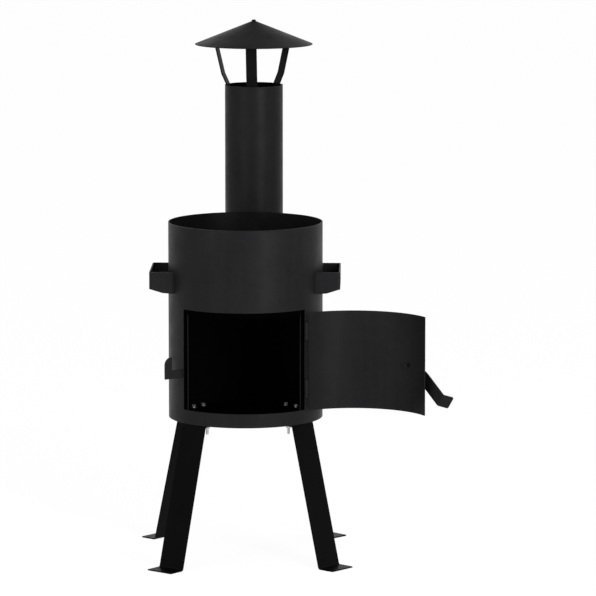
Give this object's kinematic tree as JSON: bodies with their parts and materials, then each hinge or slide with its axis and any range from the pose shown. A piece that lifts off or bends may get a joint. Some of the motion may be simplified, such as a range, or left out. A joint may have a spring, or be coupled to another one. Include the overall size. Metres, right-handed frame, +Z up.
{
  "type": "cauldron stove",
  "caption": "Round sheet-steel cauldron stove on bolted strip legs, with a swing door, a drop latch, carrying handles and a rear chimney with a rain cap.",
  "frame": {"origin": "on the ground, under the axis of the round body", "axes": "+Z up, the door opening is centred on -Y, +X to the right of a person who faces the door"},
  "size_m": [0.7365, 0.6615, 1.235],
  "materials": {
    "black_paint": "matt heat-resistant paint",
    "zinc": "bright zinc plate"
  },
  "bodies": {
    "stove": {"body_shell": "black_paint", "catch_hook": "black_paint", "floor_plate": "black_paint", "flue_collar": "black_paint", "flue_stub": "black_paint", "flue_tube": "black_paint", "handle_left": "black_paint", "handle_right": "black_paint", "hinge_lower_body_leaf": "black_paint", "hinge_lower_pin": "black_paint", "hinge_upper_body_leaf": "black_paint", "hinge_upper_pin": "black_paint", "leg_front_left": "black_paint", "leg_front_right": "black_paint", "leg_nuts": "zinc", "leg_rear_left": "black_paint", "leg_rear_right": "black_paint", "leg_screws": "zinc", "leg_spring_washers": "zinc", "leg_washers": "zinc", "stop_left": "black_paint", "stop_right": "black_paint", "stop_top": "black_paint"},
    "door": {"door_panel": "black_paint", "hinge_lower_door_leaf": "black_paint", "hinge_upper_door_leaf": "black_paint", "latch_screw": "black_paint", "latch_washers": "black_paint", "latch_nuts": "black_paint"},
    "lever": {"latch_lever": "black_paint"},
    "chimney": {"chimney_pipe": "black_paint", "cap_cone": "black_paint", "cap_strut_front": "black_paint", "cap_strut_left": "black_paint", "cap_strut_right": "black_paint"}
  },
  "joints": [
    {"name": "door_hinge", "type": "hinge", "parent": "stove", "child": "door", "pos_m": [0.1445, -0.11775, 0.4745], "axis": [0, 0, 1], "range_deg": [-165.4, 12]},
    {"name": "latch_pivot", "type": "hinge", "parent": "door", "child": "lever", "pos_m": [0.37968, -0.13865, 0.4693], "axis": [-0.6947, -0.7193, 0], "range_deg": [-22, 65]},
    {"name": "chimney_lift", "type": "slide", "parent": "stove", "child": "chimney", "axis": [0, 0, 1], "range_m": [0, 0.06]}
  ]
}
